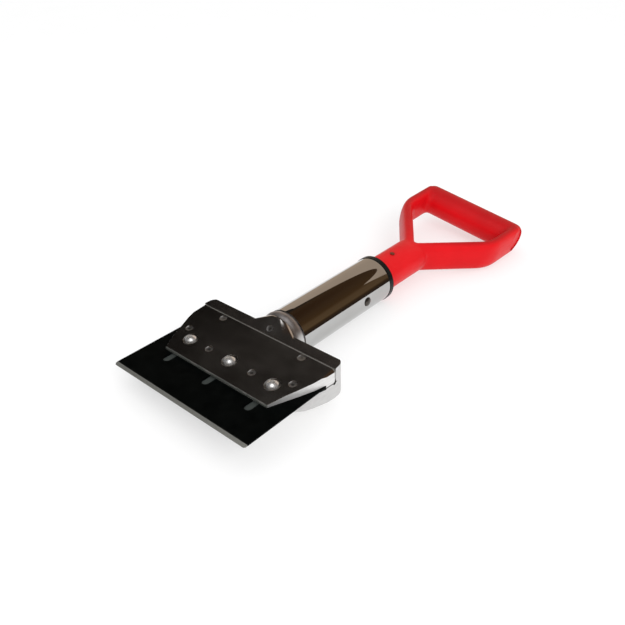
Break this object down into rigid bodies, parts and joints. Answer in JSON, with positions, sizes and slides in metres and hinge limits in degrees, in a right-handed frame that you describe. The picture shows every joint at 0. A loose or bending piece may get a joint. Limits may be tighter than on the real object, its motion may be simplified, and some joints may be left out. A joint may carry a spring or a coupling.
{
  "type": "algae scraper",
  "caption": "Long-bladed algae scraper: wide flat blade clamped in a two-jaw metal head, short plated tube with a snap button, and a D-shaped moulded hand grip.",
  "frame": {"origin": "on the handle tube's axis, half-way along the tool's length, which is the centre of the whole object's box", "axes": "+X along the handle from the cutting edge to the grip, +Y across the blade, +Z out of the blade's upper face on the clamp-screw side"},
  "size_m": [0.4427, 0.1528, 0.0528],
  "materials": {
    "head_metal": "polished casting, faint casting texture on the underside",
    "jaw_metal": "polished dark steel",
    "blade_black": "black oxide with a bare ground bevel",
    "screw_steel": "bright domed head",
    "washer_steel": "turned",
    "small_screw_steel": "dull",
    "collar_metal": "polished with cast ripple",
    "tube_chrome": "mirror plated",
    "core_aluminium": "drawn",
    "black_plastic": "satin moulded",
    "button_steel": "satin",
    "spring_steel": "rolled strip",
    "grip_red": "satin-gloss moulded",
    "rivet_steel": "dull plated",
    "plug_red": "moulded"
  },
  "bodies": {
    "head": {"head_body": "head_metal", "jaw_dowels": "small_screw_steel", "neck_plug": "small_screw_steel", "collar_ring": "collar_metal", "handle_tube": "tube_chrome", "spigot_screw": "small_screw_steel", "core_tube": "core_aluminium", "core_sleeve": "black_plastic", "core_pin": "small_screw_steel", "end_ferrule": "black_plastic", "button_clip": "spring_steel", "grip": "grip_red", "grip_rivet": "rivet_steel", "bar_plugs": "plug_red"},
    "jaw": {"upper_jaw": "jaw_metal", "clamp_washer_left": "washer_steel", "clamp_washer_middle": "washer_steel", "clamp_washer_right": "washer_steel", "blade_set_screws": "small_screw_steel"},
    "screw_left": {"clamp_screw_left": "screw_steel"},
    "screw_middle": {"clamp_screw_middle": "screw_steel"},
    "screw_right": {"clamp_screw_right": "screw_steel"},
    "blade": {"blade": "blade_black"},
    "button": {"snap_button": "button_steel"}
  },
  "joints": [
    {"name": "jaw_lift", "type": "slide", "parent": "head", "child": "jaw", "axis": [0, 0, 1], "range_m": [0, 0.002]},
    {"name": "screw_turn_left", "type": "hinge", "parent": "jaw", "child": "screw_left", "pos_m": [-0.16415, 0.0478, 0], "axis": [0, 0, 1], "range_deg": [-1, 721]},
    {"name": "screw_turn_middle", "type": "hinge", "parent": "jaw", "child": "screw_middle", "pos_m": [-0.16415, 0, 0], "axis": [0, 0, 1], "range_deg": [-1, 721]},
    {"name": "screw_turn_right", "type": "hinge", "parent": "jaw", "child": "screw_right", "pos_m": [-0.16415, -0.0478, 0], "axis": [0, 0, 1], "range_deg": [-1, 721]},
    {"name": "blade_slide", "type": "slide", "parent": "head", "child": "blade", "axis": [-1, 0, 0], "range_m": [0, 0.05]},
    {"name": "button_press", "type": "slide", "parent": "head", "child": "button", "axis": [0, 1, 0], "range_m": [0, 0.0034], "stiffness_N_per_m": 1200, "springref_m": -0.003, "deforming": ["button_clip"]}
  ],
  "couplings": [
    {"joint": "screw_turn_left", "follows": "jaw_lift", "rad_per_m": 6283.2},
    {"joint": "screw_turn_middle", "follows": "jaw_lift", "rad_per_m": 6283.2},
    {"joint": "screw_turn_right", "follows": "jaw_lift", "rad_per_m": 6283.2}
  ]
}
